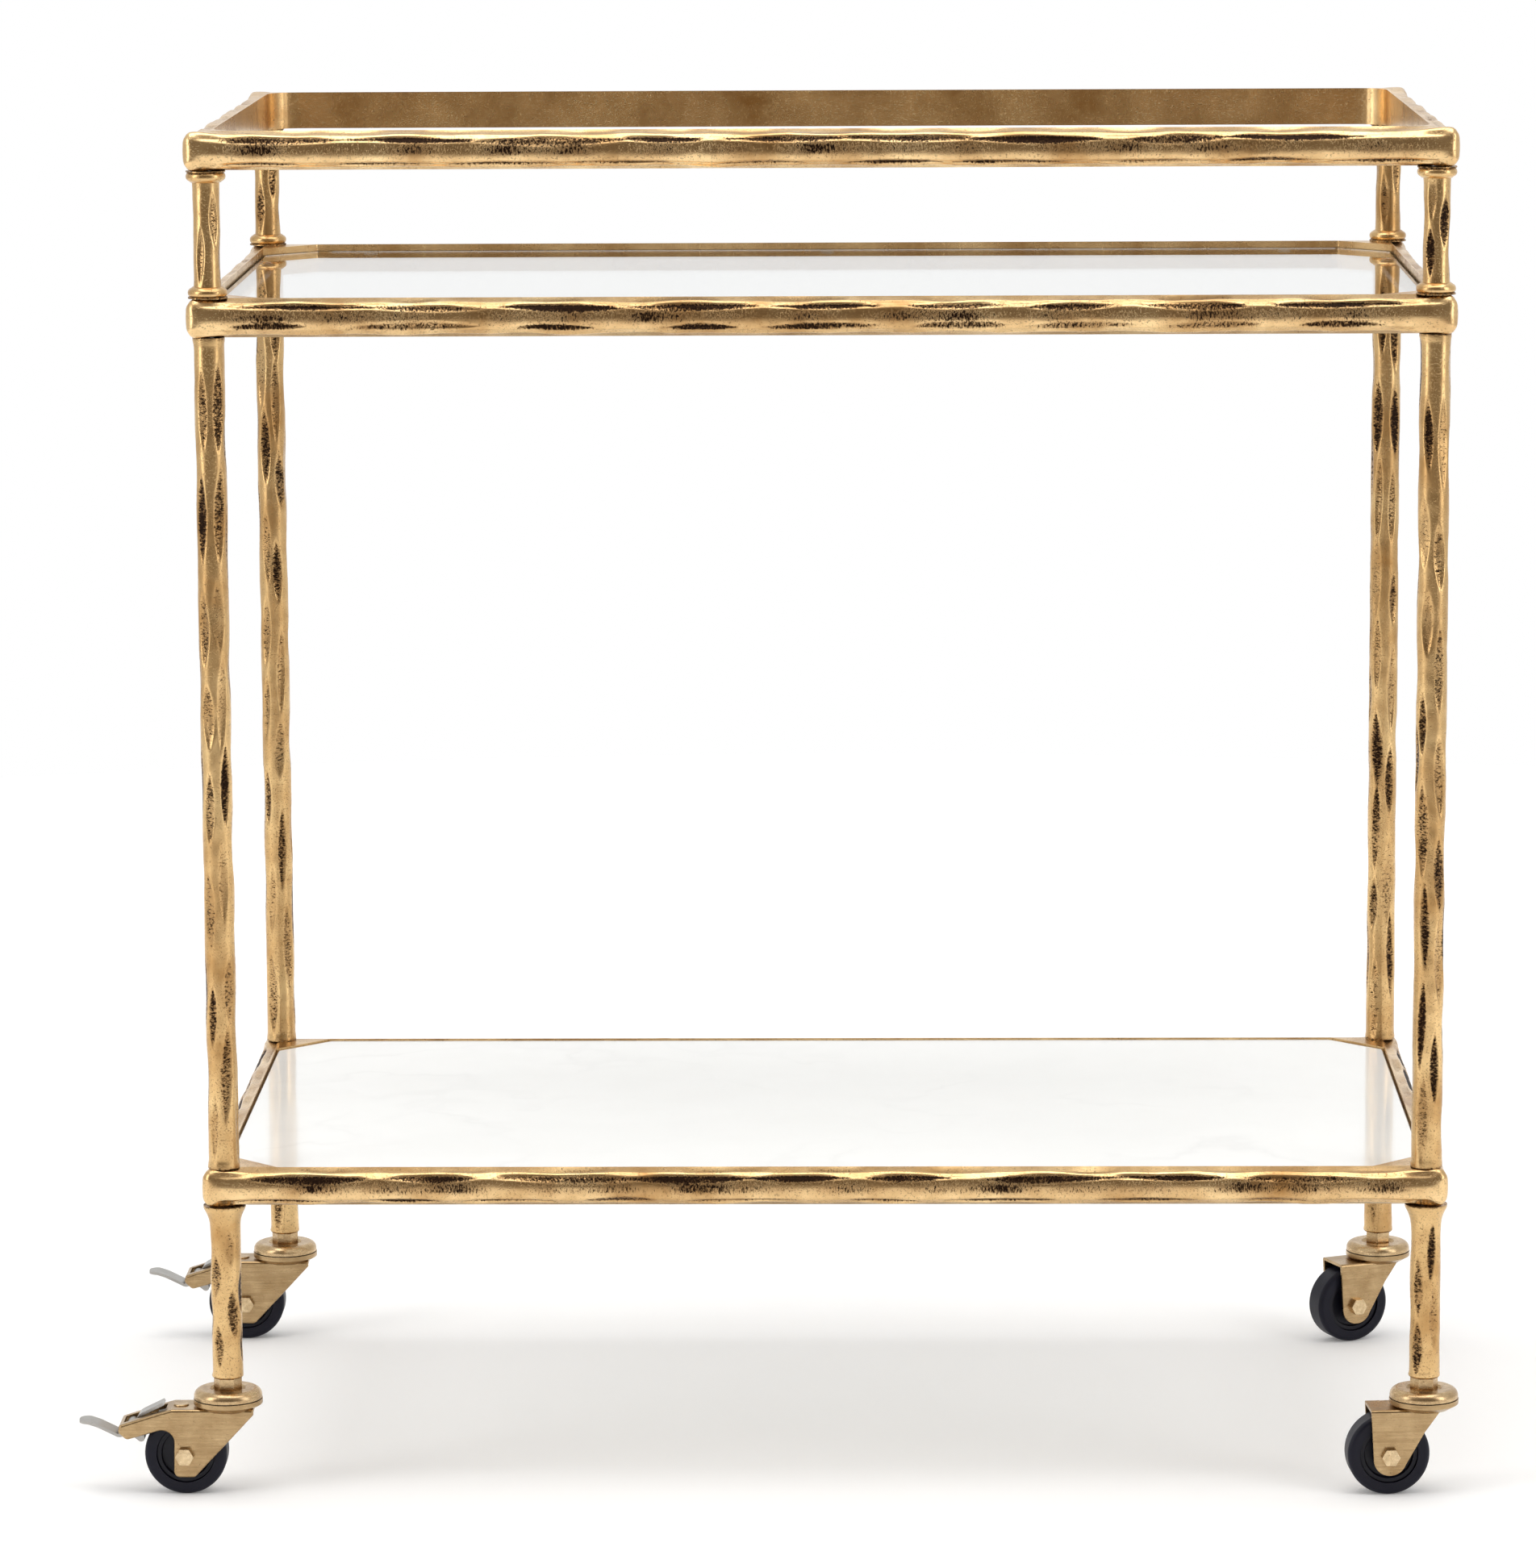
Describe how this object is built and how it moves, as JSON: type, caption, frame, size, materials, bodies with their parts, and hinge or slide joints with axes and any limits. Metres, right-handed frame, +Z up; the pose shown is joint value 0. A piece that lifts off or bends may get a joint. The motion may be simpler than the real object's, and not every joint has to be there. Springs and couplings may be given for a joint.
{
  "type": "bar cart on wheels",
  "caption": "Two-shelf bar cart with a gallery rail, glass upper shelf, marble base shelf, hammered antique brass legs and swivel casters with foot brakes.",
  "frame": {"origin": "on the floor under the middle of the frames", "axes": "+Z up, +X towards the cart's right end, -Y towards the front; the braked casters are at -X"},
  "size_m": [0.8493, 0.4366, 0.838],
  "materials": {
    "antique_brass": "cast aluminium plated and hammered, antique brass with dark patina in the hammer marks",
    "satin_brass": "brushed antique brass",
    "bright_steel": "brushed zinc plated steel",
    "plain_steel": "plain steel, hidden",
    "clear_glass": "clear tempered glass",
    "white_marble": "polished white marble with faint grey veins",
    "clear_rubber": "soft clear bumper",
    "black_tyre": "hard black rubber",
    "black_plastic": "black nylon"
  },
  "bodies": {
    "cart_frame": {"base_frame": "antique_brass", "caster_cup_back_left": "satin_brass", "caster_cup_back_right": "satin_brass", "caster_cup_front_left": "satin_brass", "caster_cup_front_right": "satin_brass", "caster_stem_back_left": "satin_brass", "caster_stem_back_right": "satin_brass", "caster_stem_front_left": "satin_brass", "caster_stem_front_right": "satin_brass", "frame_studs": "plain_steel", "glass_shelf": "clear_glass", "leg_back_left": "antique_brass", "leg_back_right": "antique_brass", "leg_front_left": "antique_brass", "leg_front_right": "antique_brass", "leg_plugs": "plain_steel", "lower_leg_back_left": "antique_brass", "lower_leg_back_right": "antique_brass", "lower_leg_front_left": "antique_brass", "lower_leg_front_right": "antique_brass", "marble_shelf": "white_marble", "post_collars": "antique_brass", "post_plugs": "plain_steel", "shelf_frame": "antique_brass", "shelf_pads": "clear_rubber", "top_rail": "antique_brass", "top_studs": "plain_steel", "upper_post_back_left": "antique_brass", "upper_post_back_right": "antique_brass", "upper_post_front_left": "antique_brass", "upper_post_front_right": "antique_brass"},
    "swivel_front_left": {"brake_pin_front_left": "bright_steel", "brake_rivet_front_left": "satin_brass", "brake_spring_front_left": "bright_steel", "caster_axle_front_left": "satin_brass", "caster_balls_front_left": "plain_steel", "caster_fork_front_left": "satin_brass"},
    "wheel_front_left": {"tyre_front_left": "black_tyre", "wheel_hub_front_left": "black_plastic"},
    "pedal_front_left": {"brake_pedal_front_left": "bright_steel"},
    "swivel_front_right": {"caster_axle_front_right": "satin_brass", "caster_balls_front_right": "plain_steel", "caster_fork_front_right": "satin_brass"},
    "wheel_front_right": {"tyre_front_right": "black_tyre", "wheel_hub_front_right": "black_plastic"},
    "swivel_back_left": {"brake_pin_back_left": "bright_steel", "brake_rivet_back_left": "satin_brass", "brake_spring_back_left": "bright_steel", "caster_axle_back_left": "satin_brass", "caster_balls_back_left": "plain_steel", "caster_fork_back_left": "satin_brass"},
    "wheel_back_left": {"tyre_back_left": "black_tyre", "wheel_hub_back_left": "black_plastic"},
    "pedal_back_left": {"brake_pedal_back_left": "bright_steel"},
    "swivel_back_right": {"caster_axle_back_right": "satin_brass", "caster_balls_back_right": "plain_steel", "caster_fork_back_right": "satin_brass"},
    "wheel_back_right": {"tyre_back_right": "black_tyre", "wheel_hub_back_right": "black_plastic"}
  },
  "joints": [
    {"name": "swivel_front_left", "type": "hinge", "parent": "cart_frame", "child": "swivel_front_left", "pos_m": [-0.368, -0.197, 0.06], "axis": [0, 0, 1], "continuous": true},
    {"name": "roll_front_left", "type": "hinge", "parent": "swivel_front_left", "child": "wheel_front_left", "pos_m": [-0.394, -0.197, 0.0254], "axis": [0, 1, 0], "continuous": true},
    {"name": "brake_front_left", "type": "hinge", "parent": "swivel_front_left", "child": "pedal_front_left", "pos_m": [-0.427, -0.197, 0.0415], "axis": [0, -1, 0], "range_deg": [0, 16]},
    {"name": "swivel_front_right", "type": "hinge", "parent": "cart_frame", "child": "swivel_front_right", "pos_m": [0.368, -0.197, 0.06], "axis": [0, 0, 1], "continuous": true},
    {"name": "roll_front_right", "type": "hinge", "parent": "swivel_front_right", "child": "wheel_front_right", "pos_m": [0.34559, -0.19896, 0.0254], "axis": [-0.0872, 0.9962, 0], "continuous": true},
    {"name": "swivel_back_left", "type": "hinge", "parent": "cart_frame", "child": "swivel_back_left", "pos_m": [-0.368, 0.197, 0.06], "axis": [0, 0, 1], "continuous": true},
    {"name": "roll_back_left", "type": "hinge", "parent": "swivel_back_left", "child": "wheel_back_left", "pos_m": [-0.394, 0.197, 0.0254], "axis": [0, 1, 0], "continuous": true},
    {"name": "brake_back_left", "type": "hinge", "parent": "swivel_back_left", "child": "pedal_back_left", "pos_m": [-0.427, 0.197, 0.0415], "axis": [0, -1, 0], "range_deg": [0, 16]},
    {"name": "swivel_back_right", "type": "hinge", "parent": "cart_frame", "child": "swivel_back_right", "pos_m": [0.368, 0.197, 0.06], "axis": [0, 0, 1], "continuous": true},
    {"name": "roll_back_right", "type": "hinge", "parent": "swivel_back_right", "child": "wheel_back_right", "pos_m": [0.34745, 0.18785, 0.0254], "axis": [-0.4067, 0.9135, 0], "continuous": true}
  ]
}
